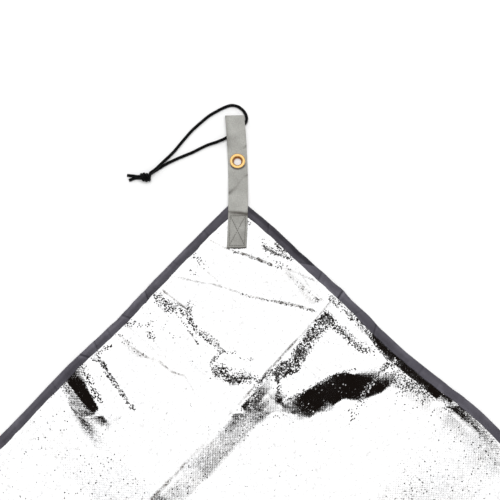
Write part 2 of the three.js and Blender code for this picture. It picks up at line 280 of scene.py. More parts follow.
def colour(red, green, blue):
    def toLinear(value):
        value /= 255
        return value / 12.92 if value < 0.04045 else ((value + 0.055) / 1.055) ** 2.4

    return (toLinear(red), toLinear(green), toLinear(blue), 1)


# a plain over and under weave: crossings of the two cell sizes given, each with its own height
def makeWeaveGroup():
    group = bpy.data.node_groups.new("plainWeave", "ShaderNodeTree")
    group.interface.new_socket("Vector", in_out="INPUT", socket_type="NodeSocketVector")
    group.interface.new_socket("Along", in_out="INPUT", socket_type="NodeSocketFloat")
    group.interface.new_socket("Across", in_out="INPUT", socket_type="NodeSocketFloat")
    group.interface.new_socket("Height", in_out="OUTPUT", socket_type="NodeSocketFloat")
    nodes = Nodes(group)
    come = group.nodes.new("NodeGroupInput").outputs
    leave = group.nodes.new("NodeGroupOutput").inputs
    split = nodes.add("SeparateXYZ", Vector=come["Vector"])
    turns = []
    cells = []
    for axis, cell in (("X", "Along"), ("Y", "Across")):
        scaled = nodes.math("DIVIDE", split.outputs[axis], come[cell])
        turns.append(nodes.math("SINE", nodes.math("MULTIPLY", scaled, math.pi)))
        cells.append(nodes.math("FLOOR", scaled))
    uneven = nodes.span(nodes.chance(cells).outputs["Value"], 0, 1, 0.73, 1.27)
    height = nodes.span(nodes.math("MULTIPLY", nodes.math("MULTIPLY", *turns), uneven), -1, 1, 0, 1)
    height.node.clamp = False
    nodes.feed(leave["Height"], height)
    return group


def addWeave(nodes, vector, along, across):
    weave = nodes.add("Group", {"node_tree": weaveGroup}, Vector=vector, Along=along, Across=across)
    return weave.outputs["Height"]


weaveGroup = makeWeaveGroup()

foilLook = {
    "cell": 1.45 * mm,  # one crossing of the woven core
    "bow": (0.05, 0.12),  # of the tapes, where the foil lies smooth and where it is crushed
    "lean": (0.02, 0.28),  # of each crossing
    "sway": 1.4 * mm,  # of the weave's lines
    "ragged": 0.5 * mm,  # of the tapes' edges
    "creaseDepth": 0.08 * mm,
    "roughness": (0.04, 0.08),
    "wornAndShadedColour": (0.112, 0.1, 0.09, 1),
}


def makeFoil():
    material, nodes, shader = newMaterial("aluminisedFoil")
    place = nodes.place()
    patchy = nodes.noise(place, 38.0, 2.0)
    slack = nodes.bump(nodes.noise(place, 150.0, 3.0), foilLook["creaseDepth"], 0.5)
    clumps = nodes.span(nodes.noise(place, 105.0, 1.5), 0.3, 0.7, 0.68, 1.28)
    crush = nodes.math("MULTIPLY", nodes.attribute("crush"), clumps)
    swayed = place
    for scale, amount in ((30.0, foilLook["sway"]), (340.0, foilLook["ragged"])):
        drift = nodes.noise(place, scale, 1.0, "Color")
        swayed = nodes.vector("MULTIPLY_ADD", drift, (amount,) * 3, swayed)
    # flat tapes woven over and under: each crossing bows along the tape on top and leans its own way
    split = nodes.add("SeparateXYZ", Vector=swayed)
    cells = []
    turns = []
    for axis in ("X", "Y"):
        count = nodes.math("DIVIDE", split.outputs[axis], foilLook["cell"])
        cells.append(nodes.math("FLOOR", count))
        turns.append(nodes.span(nodes.math("FRACT", count), 0, 1, -1, 1))
    onTop = nodes.math("FLOORED_MODULO", nodes.math("ADD", *cells), 2.0)
    below = nodes.math("SUBTRACT", 1.0, onTop)
    along = nodes.math("MULTIPLY", turns[0], onTop)
    across = nodes.math("MULTIPLY", turns[1], below)
    bowWay = nodes.add("CombineXYZ", X=along, Y=across).outputs["Vector"]
    bow = nodes.vector("SCALE", bowWay, nodes.span(crush, 0, 1, *foilLook["bow"]))
    chance = nodes.chance(cells).outputs["Color"]
    leanWay = nodes.vector("MULTIPLY_ADD", chance, (2, 2, 0), (-1.5, -1.5, 0))
    lot = nodes.add("SeparateXYZ", Vector=chance).outputs["Z"]
    turned = nodes.span(nodes.math("SUBTRACT", crush, lot), 0, 0.15, *foilLook["lean"])
    lean = nodes.vector("SCALE", nodes.vector("NORMALIZE", leanWay), turned)
    tilt = nodes.vector("ADD", lean, bow)
    tint = nodes.mix(patchy, (0.93, 0.92, 0.91, 1), (0.88, 0.89, 0.91, 1))
    fibre = nodes.span(nodes.noise(place, 520.0, 2.0), 0.36, 0.64, 0.25, 1.35)
    mottle = nodes.span(nodes.noise(place, 290.0, 4.0), 0.55, 0.75, 0.06, 0.36)
    # darker at random worn specks, and along old creases, where the metal is worn and painted shade stands in
    # for their dark reflections
    wear = nodes.math("MAXIMUM", nodes.math("MULTIPLY", nodes.attribute("wear"), fibre), mottle)
    nodes.fill(
        shader,
        Base_Color=nodes.mix(wear, tint, foilLook["wornAndShadedColour"]),
        Metallic=1,
        Roughness=nodes.span(patchy, 0.3, 0.7, *foilLook["roughness"]),
        Normal=nodes.vector("NORMALIZE", nodes.vector("ADD", slack, tilt)),
    )
    return material


def makeTape():
    material, nodes, shader = newMaterial("bindingTape")
    place = nodes.place()
    weave = addWeave(nodes, place, 0.45 * mm, 0.45 * mm)
    # painted shade where the attribute is above zero and painted light where it is below, over the tape's own
    # tone
    toneAndPaintedShading = nodes.attribute("toneAndPaintedShading")
    dark = nodes.mix(nodes.noise(place, 34.0, 4.0), colour(66, 63, 72), colour(104, 102, 110))
    light = nodes.mix(nodes.math("MULTIPLY", toneAndPaintedShading, -1.0), dark, colour(140, 137, 146))
    shade = nodes.mix(toneAndPaintedShading, light, colour(38, 36, 42))
    # the weave's low threads are painted darker and its crowns painted lighter
    nodes.fill(
        shader,
        Base_Color=nodes.mix(1.0, shade, nodes.span(weave, 0, 1, 0.78, 1.08), "MULTIPLY"),
        Roughness=0.82,
        Specular_IOR_Level=0.25,
        Normal=nodes.bump(weave, 0.12 * mm, 0.7),
    )
    return material


def makeWebbing():
    material, nodes, shader = newMaterial("greyWebbing")
    place = nodes.place("UV")
    weave = addWeave(nodes, place, 0.75 * mm, 0.5 * mm)
    plain = nodes.mix(nodes.noise(place, 55.0, 5.0), colour(156, 155, 150), colour(190, 190, 185))
    # painted shade from the attribute: in the creases, at the edges, by the tunnel, in the pucker and below
    # the eyelet
    shade = nodes.mix(nodes.attribute("toneAndPaintedShading"), plain, colour(92, 89, 84))
    slubs = nodes.span(nodes.noise(place, 620.0, 2.0), 0.3, 0.7, 0.86, 1.14)
    # painted shade on the weave's low threads and painted light on its crowns, with slubs at random
    weaveShadeAndSlubs = nodes.math("MULTIPLY", nodes.span(weave, 0, 1, 0.84, 1.06), slubs)
    nodes.fill(
        shader,
        Base_Color=nodes.mix(1.0, shade, weaveShadeAndSlubs, "MULTIPLY"),
        Roughness=0.85,
        Specular_IOR_Level=0.2,
        Sheen_Weight=0.15,
        Normal=nodes.bump(weave, 0.15 * mm, 0.8),
    )
    return material


def makeThread():
    material, nodes, shader = newMaterial("sewingThread")
    twist = nodes.noise(nodes.place(), 900.0, 2.0)
    nodes.fill(shader, Base_Color=nodes.mix(twist, colour(40, 37, 34), colour(66, 62, 57)), Roughness=0.6)
    return material


def makeBrass():
    material, nodes, shader = newMaterial("polishedBrass")
    place = nodes.place()
    cloud = nodes.noise(place, 260.0, 3.0)
    tint = nodes.mix(cloud, colour(246, 193, 115), colour(253, 215, 150))
    height = nodes.add("SeparateXYZ", Vector=place).outputs["Z"]
    boreShadeAndTarnish = nodes.span(height, 4.2 * mm, 5.28 * mm, 1, 0)  # painted shade in the bore below the roll, darker brown, with some tarnish
    nodes.fill(
        shader,
        Base_Color=nodes.mix(boreShadeAndTarnish, tint, colour(168, 106, 42)),
        Metallic=1,
        Roughness=nodes.span(cloud, 0.3, 0.7, 0.17, 0.24),
    )
    return material


def makeCordCover():
    material, nodes, shader = newMaterial("braidedCord")
    place = nodes.place("UV")
    turned = nodes.add("Mapping", Vector=place, Rotation=(0, 0, math.radians(45)))
    braid = addWeave(nodes, turned.outputs["Vector"], 0.75 * mm, 0.75 * mm)
    black = nodes.mix(nodes.noise(place, 160.0, 3.0), colour(1, 1, 2), colour(6, 6, 7))
    # painted shade in the braid's grooves: darker where the braid is low
    nodes.fill(
        shader,
        Base_Color=nodes.mix(nodes.span(braid, 0, 1, 0.55, 0), black, colour(1, 1, 1)),
        Roughness=0.4,
        Specular_IOR_Level=0.11,
        Normal=nodes.bump(braid, 0.25 * mm, 0.45),
    )
    return material


# the tie cords and their knots

tie = {
    "radius": 2.0,
    "sides": 14,
    "step": 1.0,
    "length": 0.32,
    "route": [  # out to the tie's side, along the strap, height
        (108.6, 32.6, 2.3), (102.6, 36.7, 2.05), (97.5, 39.8, 2.05), (92.3, 43.4, 2.05),
        (86.5, 46.6, 2.05), (76.2, 51.6, 2.05), (65.8, 56.1, 2.05), (55.4, 60.4, 2.05), (45, 65.8, 2.05),
        (34.5, 70.6, 2.2), (24.1, 73.8, 2.9), (12.5, 78.6, 3.5), (0, 87.2, 3.5), (-9.5, 94.9, 3.5),
        (-14, 99.5, 3.4), (-15.7, 104.6, 2.8), (-15.3, 109.3, 2.3), (-13.3, 114.4, 2.1),
        (-9.6, 119.2, 2.05), (-3.7, 123.4, 2.05), (4.3, 124.9, 2.05), (12.5, 122.5, 2.05),
        (24.1, 116.5, 2.05), (34.2, 110.2, 2.05), (44.8, 101, 2.05), (55.3, 91.3, 2.05), (65.8, 79, 2.05),
        (76.2, 66, 2.05), (81.3, 59.8, 2.3), (86.5, 54.2, 3.2), (92.1, 47.9, 5.1), (97.2, 42.4, 6.2),
        (102.2, 37.2, 6.7), (108.4, 32.4, 6.7),
    ],
}


# a smooth line through the points, with its stops an even step apart
def smoothLine(points, step):
    def between(first, second, t, start, stop):
        return (stop - t) / (stop - start) * first + (t - start) / (stop - start) * second

    points = np.asarray(points, dtype=float)
    ends = np.vstack((2 * points[0] - points[1], points, 2 * points[-1] - points[-2]))
    line = []
    for four in zip(ends, ends[1:], ends[2:], ends[3:]):
        knots = np.cumsum([0.0] + [math.sqrt(np.linalg.norm(q - p)) for p, q in zip(four, four[1:])])
        for t in np.linspace(knots[1], knots[2], 24, endpoint=False):
            near = [between(four[k], four[k + 1], t, knots[k], knots[k + 1]) for k in range(3)]
            wide = [between(near[k], near[k + 1], t, knots[k], knots[k + 2]) for k in range(2)]
            line.append(between(*wide, t, knots[1], knots[2]))
    line = np.array(line + [points[-1]])
    run = runOf(line)
    stops = np.linspace(0, run[-1], max(4, int(run[-1] / step)))
    return np.column_stack([np.interp(stops, run, line[:, k]) for k in range(3)])


# a closed round tube along a line, with its length and girth in metres as UV
def addTube(name, lines, radius, sides, squeeze=None):
    faces = []
    points = []
    loops = []
    around = 2 * math.pi * radius * mm / sides
    for line in lines:
        ahead = np.gradient(line, axis=0)
        ahead /= np.linalg.norm(ahead, axis=1)[:, None]
        side = np.cross(ahead[0], (0, 0, 1))
        run = runOf(line) * mm
        first = len(points)
        last = first + (len(line) - 1) * sides
        for i, place in enumerate(line):
            side = side - ahead[i] * np.dot(side, ahead[i])
            side /= np.linalg.norm(side)
            top = np.cross(side, ahead[i])
            girth = radius if squeeze is None else radius * squeeze(i / (len(line) - 1))
            for k in range(sides):
                angle = 2 * math.pi * k / sides
                points.append(place + girth * (math.cos(angle) * side + math.sin(angle) * top))
        for i in range(len(line) - 1):
            for k in range(sides):
                here = first + i * sides + k
                beside = first + i * sides + (k + 1) % sides
                faces.append((here, beside, beside + sides, here + sides))
                loops += [(run[i + j], around * (k + m)) for j, m in ((0, 0), (0, 1), (1, 1), (1, 0))]
        for start, order in ((first, -1), (last, 1)):
            faces.append(tuple(range(start, start + sides))[::order])
            loops += [(0.0, around * k) for k in range(sides)]
    piece = newPiece(name, points, faces)
    uv = piece.data.uv_layers.new(name="UVMap")
    uv.data.foreach_set("uv", np.array(loops, dtype=np.float32).ravel())
    return piece


knotShape = {
    "middle": (116, 26.6, 4.9),
    "half": 4.9,  # along the tails
    "across": 4.75,
    "up": 2.85,
    "slant": 0.38,  # of the wraps
    "turns": 1.35,
    "radius": 2.0,
    "heart": 3.0,  # radius of the inner turn
    "heartSides": 12,
    "pulledIn": 0.14,  # of the strands, where they are wrapped
    "begin": (1.45, 0.45),  # where each strand starts its turns, in half turns
    "tails": [
        [(126, 27.9, 4.4), (131, 29.0, 3.5), (139.5, 30.4, 2.3)],
        [(125.5, 26.3, 2.6), (130.5, 26.1, 2.1), (137.4, 23.6, 2.05)],
    ],
}


# one strand of the knot: in from the tie, round the bundle and out as a tail
def knotStrand(which):
    middle = np.array(knotShape["middle"])
    route = np.array(tie["route"] if which == 0 else tie["route"][::-1])
    inward = route[0] - route[1]
    inward = inward / np.linalg.norm(inward)
    stops = [route[0] - 0.8 * inward, route[0] + 1.2 * inward]
    for share in np.linspace(0, 1, 15):
        angle = math.pi * (knotShape["begin"][which] - 2 * knotShape["turns"] * share)
        bulge = 0.74 + 0.26 * math.sin(math.pi * share)
        across = knotShape["across"] * bulge * math.cos(angle)
        out = knotShape["half"] * (2 * share - 1) + knotShape["slant"] * across
        stops.append(middle + np.array((out, across, knotShape["up"] * bulge * math.sin(angle))))
    stops += [np.array(stop) for stop in knotShape["tails"][1 - which]]
    return smoothLine(stops, 0.4)


# a little wider where it meets the tie, so that the joint doesn't show, and drawn thin in the wraps
def strandGirth(share):
    wrapped = smooth(0.02, 0.09, share) * (1 - smooth(0.62, 0.76, share))
    return 1 + 0.02 * (1 - smooth(0.01, 0.06, share)) - knotShape["pulledIn"] * wrapped


# the inner turn of the knot, seen between the strands
def knotHeart():
    middle = np.array(knotShape["middle"])
    stops = []
    for share in np.linspace(-1, 1, 9):
        sway = (5.2 * share, 1.2 * math.sin(2.4 * share), 0.3 * math.cos(2 * share) - 0.2)
        stops.append(middle + np.array(sway))
    return smoothLine(stops, 0.7)


def mirrored(line, side):
    return line * np.array((side, 1, 1))


def tieAll(cover):
    route = smoothLine(tie["route"], tie["step"])
    strands = [knotStrand(0), knotStrand(1)]
    for corner in cornerRows:
        side = corner["side"]
        name = corner["name"]
        line = mirrored(route, side)
        cord = addTube(f"tieCord_{name}", [line], tie["radius"], tie["sides"])
        lines = [mirrored(strand, side) for strand in strands]
        knot = addTube(f"tieKnot_{name}", lines, knotShape["radius"], tie["sides"], strandGirth)
        heart = addTube("heart", [mirrored(knotHeart(), side)], knotShape["heart"], knotShape["heartSides"])
        pickOnly(knot)
        heart.select_set(True)
        bpy.ops.object.join()
        for piece, node in ((cord, f"cord_{name}"), (knot, f"knot_{name}")):
            setPoints(piece, fromCorner(corner, pointsOf(piece)))
            outwardFaces(piece)
            finishPiece(piece, cover, "cord", node)
    print(f"tie cords and knots made, each cord {runOf(route)[-1]:.1f} mm")


# the shape of the sheet

# waves of each edge: distance along it, how far out, reach
edgeWaves = {
    "north": [(80, 0.7, 90), (205, -1.1, 45), (312, 1.5, 45), (760, 4, 170), (1420, -4, 190)],
    "east": [(60, 1.7, 36), (150, 0.8, 60), (275, -3.6, 55), (405, 4, 45), (820, 4, 200)],
    "south": [(430, -4, 180), (1260, 5, 220)],
    "west": [(360, 4, 150), (1010, -4, 170)],
}
foldsAcrossLength = [  # line, rise, reach towards the corner and away from it
    (2, 3.5, 50, 60), (3, 5, 84, 84), (5, 4, 84, 84), (7, 6, 84, 84), (9, 4.5, 84, 84), (11, 4, 84, 84),
]
foldsAcrossWidth = [
    (1, 4.5, 94, 32), (2, 4, 63, 94), (3, 3, 94, 94), (5, 5.5, 94, 94), (7, 3.5, 94, 94),
]
mainCreases = [  # line, rise, reach to its left and right
    ([(163, 14), (168, 124)], 2.5, 30, 30),
    ([(187, 128), (167, 180)], 1, 30, 30),
    ([(286, 14), (293, 80)], 3, 30, 30),
]
edgeFacts = {"flat": 14, "ramp": 45, "hold": 0.35, "quietFrom": 100, "quietTo": 170, "lift": 1.1}


def edgeLength(edge):
    return mat["length"] if edge in ("north", "south") else mat["width"]


def humps(along, rows):
    return sum(out * bell(along - at, reach) for at, out, reach in rows)


def edgeShift(edge, along):
    free = smooth(edgeFacts["flat"] + 2, edgeFacts["ramp"], along)
    free = free * smooth(edgeFacts["flat"] + 2, edgeFacts["ramp"], edgeLength(edge) - along)
    return humps(along, edgeWaves[edge]) * free


# a from the north-east corner along the north edge, b from it along the east edge
def matPlace(a, b):
    def share(inside):
        return 1 - smooth(edgeFacts["ramp"], pitchLong, inside)

    x = mat["length"] / 2 - a
    x = x + edgeShift("east", b) * share(a) - edgeShift("west", b) * share(mat["length"] - a)
    y = mat["width"] / 2 - b
    y = y + edgeShift("north", a) * share(b) - edgeShift("south", a) * share(mat["width"] - b)
    return x, y


def crest(offset, near, far):
    return np.clip(1 - np.abs(offset) / np.where(offset < 0, near, far), 0, 1)


# how far along a straight run a place lies, and how near it is: 1 on the run, 0 at its left and right reach
def nearRun(a, b, start, stop, left, right):
    runA = stop[0] - start[0]
    runB = stop[1] - start[1]
    fromA = a - start[0]
    fromB = b - start[1]
    share = np.clip((fromA * runA + fromB * runB) / (runA**2 + runB**2), 0, 1)
    apart = np.hypot(fromA - share * runA, fromB - share * runB)
    side = (runA * fromB - runB * fromA) / math.hypot(runA, runB)
    reach = right + (left - right) * smooth(-1, 0.8, side / np.maximum(apart, 1e-6))  # even round the ends
    return share, np.clip(1 - apart / reach, 0, 1)


def ridge(a, b, line, left, right):
    best = np.zeros_like(a)
    for start, stop in zip(line, line[1:]):
        best = np.maximum(best, nearRun(a, b, start, stop, left, right)[1])
    return best


def undersideLevel(a, b):
    flat = edgeFacts["flat"]
    a = np.clip(a, flat, mat["length"] - flat)
    b = np.clip(b, flat, mat["width"] - flat)
    inLength = np.minimum(a, mat["length"] - a)
    inWidth = np.minimum(b, mat["width"] - b)
    inside = np.minimum(inLength, inWidth)
    lift = edgeFacts["lift"] * np.clip((edgeFacts["ramp"] - inside) / (edgeFacts["ramp"] - flat), 0, 1)
    hold = edgeFacts["hold"]
    folds = np.zeros_like(a)
    for rows, place, pitch, depth, depthPitch in (
        (foldsAcrossLength, a, pitchLong, inWidth, pitchWide),
        (foldsAcrossWidth, b, pitchWide, inLength, pitchLong),
    ):
        let = hold + (1 - hold) * smooth(flat, depthPitch, depth)
        for line, rise, near, far in rows:
            folds += let * rise * crest(place - line * pitch, near, far)
    for line, rise, left, right in mainCreases:
        folds += rise * ridge(a, b, line, left, right)
    quiet = smooth(edgeFacts["quietFrom"], edgeFacts["quietTo"], np.hypot(inLength, inWidth))
    return lift + folds * quiet


# seeded, soft, even ups and downs between -1 and 1
def undulation(a, b, pitch, seed):
    lattice = np.random.default_rng(seed).uniform(-1, 1, (256, 256))
    steps = []
    for place, start in ((a, 17.3), (b, 31.7)):
        count = np.asarray(place) / pitch + start
        cell = np.floor(count).astype(int)
        t = count - cell
        t = t * t * t * (t * (6 * t - 15) + 10)
        steps.append(((cell % 256, 1 - t), ((cell + 1) % 256, t)))
    return sum(wa * wb * lattice[ia, ib] for ia, wa in steps[0] for ib, wb in steps[1])


# foil sheet

foilSheet = {
    "cell": 16,
    "thickness": 0.6,
    "cuts": [(3, 400, 660), (11, 0, 400)],  # closer grids near the corner: cuts, a + b from and to
    "fineTo": 530,  # largest a and b
    "wave": (0.5, 85),  # height and pitch of the slack all over
    "crinkle": (0.06, 9),
    "crumple": 0.14,  # height where it is crumpled most
    "crushed": 1.15,  # along a crushed crease
    "held": (3, 9),  # flat under the binding, free further in
    "least": 0.35,  # least height over the underside
    "under": 0.1,
}
# creases seen near the corner: points with their rise, reach to the left and right, how broken, how crushed
fineCreases = [
    # the cross fold
    ([(162, 14, 0.5), (158, 37, 0.8), (152, 55, 0.8), (156, 64, 0.9), (162, 84, 0.6), (158, 110, 0.8),
      (159, 124, 0.9)], 2.6, 3.4, 0.4, 0.6),
    ([(159, 124, 0.5), (172, 124, 0.7), (180, 127, 0.7), (182, 141, 0.6)], 2.6, 3.4, 0.3, 0.65),
    ([(163, 56, 0.3), (171, 96, 0.5)], 2.4, 2.6, 0.5, 0.45),
    ([(182, 141, 0.4), (174, 154, 1.0), (158, 172, 1.0), (150, 181, 0)], 11, 9, 0.3, 0),
    # the first panel
    ([(158, 126, 0.5), (149, 136, 0.5), (149, 148, 0.4), (136, 164, 0.3)], 2.6, 2.6, 0.5, 0.45),
    ([(58, 47, 0.2), (54, 55, 0.7), (48, 68, 1.0), (37, 94, 0.9), (30, 108, 0)], 2.2, 2.2, 0.3, 0.6),
    ([(23, 64, 0.5), (27, 72, 0.9), (24, 82, 1.0), (18, 97, 0.9), (14, 108, 0.6)], 3, 3, 0.3, 0.7),
    ([(90, 92, 0.2), (85, 102, 0.4), (70, 127, 0.6), (56, 149, 0.8), (44, 172, 0.7)], 2.2, 2.2, 0.4, 0.6),
    # the pack fold
    ([(16, 181, 0.5), (79, 182, 0.48), (120, 183, 0.42), (177, 184, 0.42),
      (300, 186, 0.3)], 1.7, 1.7, 0.1, 0),
    ([(24, 182, 0.3), (42, 184, 0.9), (97, 186, 1.2), (134, 187, 1.2), (190, 186, 0.8),
      (240, 187, 0)], 14, 34, 0, 0),
    ([(134, 194, 0.2), (141, 203, 0.6), (149, 212, 0.6), (158, 235, 0)], 7, 7, 0.3, 0),
    ([(36, 189, 0.4), (37, 219, 0.7), (38, 237, 0.6), (30, 257, 0.7), (26, 268, 0)], 7.5, 8, 0.3, 0),
    # by the right binding
    ([(20, 176, 0.2), (19, 203, 0.9), (18, 224, 1.2), (18, 236, 0)], 7, 30, 0, 0),
    ([(16, 224, 1), (19, 240, 2.4), (21, 250, 3), (23, 266, 3.4), (23, 284, 3.8), (23, 297, 4.7),
      (24, 340, 5), (27, 480, 0)], 15, 40, 0, 0),
    # slack of the second panel
    ([(176, 218, 0), (150, 223, 3), (131, 229, 6.5), (114, 235, 8), (84, 243.5, 8.5), (72, 252, 8.5),
      (65.5, 262, 8), (54, 268, 0)], 60, 32, 0, 0),
    # the left edge
    ([(274, 15, 0.6), (271, 29, 0.9), (275, 42, 0.9), (280, 73, 0.6), (284, 95, 0)], 3, 3, 0.3, 0.75),
    ([(292, 13, 1.8), (300, 29, 4), (306, 45, 4.4), (313, 70, 3.6), (322, 110, 0)], 40, 30, 0, 0),
]
# fine darker lines along old creases, where the metal is worn and where painted shade stands in for the
# creases' dark reflections: line, reach, amount
wornAndShadedLines = [
    # the first panel and the cross fold
    ([(132, 15), (125, 26), (116, 43), (105, 59), (96, 79), (85, 102), (70, 127)], 2.0, 0.8),
    ([(66, 16), (61, 37), (57, 49)], 2.0, 0.75),
    ([(85, 102), (70, 127), (56, 149), (44, 172)], 1.8, 1.6),
    ([(53, 57), (48, 68), (37, 94)], 1.7, 2.6),
    ([(154, 18), (151, 52)], 1.7, 2.0),
    ([(66, 111), (66, 121)], 1.8, 0.45),
    ([(99, 41), (99, 59)], 1.8, 0.6),
    ([(36, 98), (27, 112), (21, 130), (14, 150)], 2.2, 0.8),
    ([(171, 24), (173, 51)], 1.7, 0.5),
    # the left crease
    ([(231, 16), (231, 39), (228, 61), (220, 75), (220, 95), (212, 111), (219, 137)], 2.1, 0.95),
    ([(213, 41), (217, 60)], 1.7, 0.4),
    ([(207, 55), (212, 81)], 1.7, 0.5),
    # the pack fold
    ([(14, 180), (79, 182), (177, 184), (300, 186), (900, 187)], 1.7, 1.3),
    # the left and the right edge
    ([(231, 15), (229, 50), (218, 95)], 1.7, 0.4),
    ([(216, 15), (215, 45), (214, 76)], 1.7, 0.4),
    ([(234, 23), (234, 38), (232, 54)], 7, 0.42),
    ([(30, 114), (32, 138), (36, 164)], 9, 0.5),
    ([(20, 125), (26, 150), (27, 172)], 1.9, 0.75),
    ([(26, 120), (31, 145), (30, 170)], 1.8, 0.8),
]
# drag lines below the pack fold, each a low crease and a darker line, worn and painted shade: from, to, rise,
# wear and painted shade
dragLines = [
    ((95, 203), (91, 246), 0.3, 0.45), ((103, 205), (101, 242), 0.35, 0.45),
    ((111, 208), (112, 238), 0.3, 0.35), ((121, 206), (124, 232), 0.35, 0.45),
]
for start, stop, rise, amount in dragLines:
    fineCreases.append(([(*start, rise), (*stop, 0.2)], 1.7, 1.7, 0.2, 0))
    wornAndShadedLines.append(([start, stop], 1.6, amount))
# places where the foil is crumpled: line through the place, reach, amount
crumples = [
    # the cross fold
    ([(165, 18), (163, 38), (156, 54)], 9, 0.6),
    ([(145, 56), (152, 60)], 7, 0.85),
    ([(157, 66), (161, 84), (157, 110), (159, 122)], 6, 0.85),
    ([(179, 138), (174, 154), (158, 171)], 11, 1.05),
    # under the pack fold
    ([(40, 191), (76, 193), (98, 197)], 11, 1.25),
    ([(38, 190), (37, 219), (38, 237), (30, 257)], 8, 1.0),
    ([(131, 190), (116, 194)], 8, 1.5),
    ([(124, 197), (112, 202)], 10, 1.5),
    ([(134, 194), (149, 212)], 5, 0.8),
    ([(136, 185), (159, 184), (168, 191), (190, 196)], 4.5, 0.9),
    # inside the right binding and along the slack
    ([(17, 178), (17, 203), (16, 224), (15, 243)], 6, 0.85),
    ([(18, 248), (22, 266), (23, 286), (24, 322), (26, 380)], 2.6, 0.6),
    ([(150, 223), (131, 229), (114, 235), (98, 240), (82, 244), (61, 259)], 3, 0.5),
    # by the strap
    ([(27, 72), (24, 82), (18, 97)], 5, 0.95),
    ([(14, 81), (15, 96)], 4, 0.75),
    ([(16, 34), (17, 38)], 3, 0.4),
    ([(93, 18), (95, 34)], 7, 0.42),
    ([(112, 25), (110, 30)], 5, 0.5),
    # grey patches and a speck
    ([(33, 86), (26, 111)], 8, 0.24),
    ([(31, 121), (32, 138), (30, 160)], 6, 0.2),
    ([(32, 164), (32, 168)], 4, 0.85),
    # right of the slack
    ([(36, 284), (27, 284), (20, 287)], 5, 0.7),
    ([(38, 318), (30, 319), (24, 331)], 6, 0.65),
    ([(34, 296), (30, 340)], 12, 0.42),
    ([(46, 282), (80, 288), (110, 296)], 5, 0.5),
    # the left edge
    ([(271, 18), (271, 29), (276, 45)], 5, 0.85),
    ([(268, 14), (248, 19)], 4, 0.5),
    ([(322, 16), (323, 21)], 6, 0.85),
    ([(288, 14), (298, 34), (306, 58)], 7, 0.6),
    ([(213, 16), (205, 23), (196, 34)], 7, 0.56),
    ([(204, 42), (205, 52)], 6, 0.66),
    ([(231, 16), (231, 39), (228, 61)], 6, 0.2),
]


# the height of a crease whose rise changes along it
def creaseRise(a, b, line, left, right):
    height = np.zeros_like(a)
    for start, stop in zip(line, line[1:]):
        share, near = nearRun(a, b, start, stop, left, right)
        height = np.maximum(height, (start[2] + (stop[2] - start[2]) * share) * near**1.1)
    return height


def foilHeight(a, b):
    inside = np.minimum(np.minimum(a, mat["length"] - a), np.minimum(b, mat["width"] - b))
    free = smooth(*foilSheet["held"], inside)
    wave, pitch = foilSheet["wave"]
    height = wave * (0.7 * undulation(a, b, pitch, 3) + 0.3 * undulation(a, b, 0.4 * pitch, 4))
    fine, finePitch = foilSheet["crinkle"]
    rough = np.full_like(a, fine)
    patchy = 1.1 + 0.5 * undulation(a, b, 12, 15)
    for line, reach, amount in crumples:
        rough = np.maximum(rough, amount * patchy * ridge(a, b, line, reach, reach) ** 0.7)
    height += rough * foilSheet["crumple"] * undulation(a + 0.6 * b, b - 0.6 * a, finePitch, 8)
    gaps = np.clip(0.5 + undulation(a, b, 7, 12), 0, 1)
    for line, left, right, broken, crushed in fineCreases:
        whole = 1 - broken * gaps
        height += whole * creaseRise(a, b, line, left, right)
        if crushed:
            near = ridge(a, b, line, left + 1, right + 1)
            rough = np.maximum(rough, foilSheet["crushed"] * crushed * whole * near**0.7)
    wear = np.zeros_like(a)
    for line, reach, amount in wornAndShadedLines:
        wear = np.maximum(wear, amount * (1 - 0.6 * gaps) * ridge(a, b, line, reach, reach))
    return height * free, np.clip(rough, 0, 1) * free, wear


def makeFoilSheet(foil):
    cell = foilSheet["cell"]
    piece = addGrid("foilSheet", int(mat["length"] / cell), int(mat["width"] / cell))
    points = pointsOf(piece)
    rim = edgeFacts["lift"]
    for axis, length in ((0, mat["length"]), (1, mat["width"])):
        points[:, axis] = (0.5 - points[:, axis]) * (length - 2 * rim) + rim
    setPoints(piece, points)
    applyModifier(piece, "SOLIDIFY", thickness=foilSheet["thickness"], offset=-1)
    outwardFaces(piece)
    # the upper face near the corner gets a closer grid
    middle = np.array([face.center for face in piece.data.polygons])
    upper = np.array([face.normal.z for face in piece.data.polygons]) > 0.5
    inReach = upper & (middle[:, :2].max(axis=1) < foilSheet["fineTo"])
    away = middle[:, 0] + middle[:, 1]
    marks = np.zeros(len(away), dtype=np.int32)
    for which, (cuts, low, high) in enumerate(foilSheet["cuts"]):
        marks[inReach & (away >= low) & (away < high)] = which + 1
    piece.data.attributes.new("band", "INT", "FACE").data.foreach_set("value", marks)
    for which, (cuts, low, high) in enumerate(foilSheet["cuts"]):
        pickOnly(piece)
        setMode("EDIT")
        bpy.ops.mesh.select_mode(type="FACE")
        bpy.ops.mesh.select_all(action="DESELECT")
        setMode("OBJECT")
        marks = np.empty(len(piece.data.polygons), dtype=np.int32)
        piece.data.attributes["band"].data.foreach_get("value", marks)
        piece.data.polygons.foreach_set("select", marks == which + 1)
        setMode("EDIT")
        bpy.ops.mesh.subdivide(number_cuts=cuts)
        setMode("OBJECT")
    piece.data.attributes.remove(piece.data.attributes["band"])
    points = pointsOf(piece)
    a = points[:, 0]
    b = points[:, 1]
    level = undersideLevel(a, b)
    top = points[:, 2] > points[:, 2].mean()
    x, y = matPlace(a, b)
    height, crush, wear = foilHeight(a, b)
    thick = np.maximum(mat["sheet"] + height, foilSheet["least"])
    z = level + np.where(top, thick, foilSheet["under"])
    setPoints(piece, np.column_stack((x, y, z)) * mm)
    setAttribute(piece, "crush", crush)
    setAttribute(piece, "wear", wear)
    outwardFaces(piece)
    finishPiece(piece, foil, "foil", "foil_sheet")
    print("foil sheet made,", len(piece.data.polygons), "faces")


# binding tape round the edge

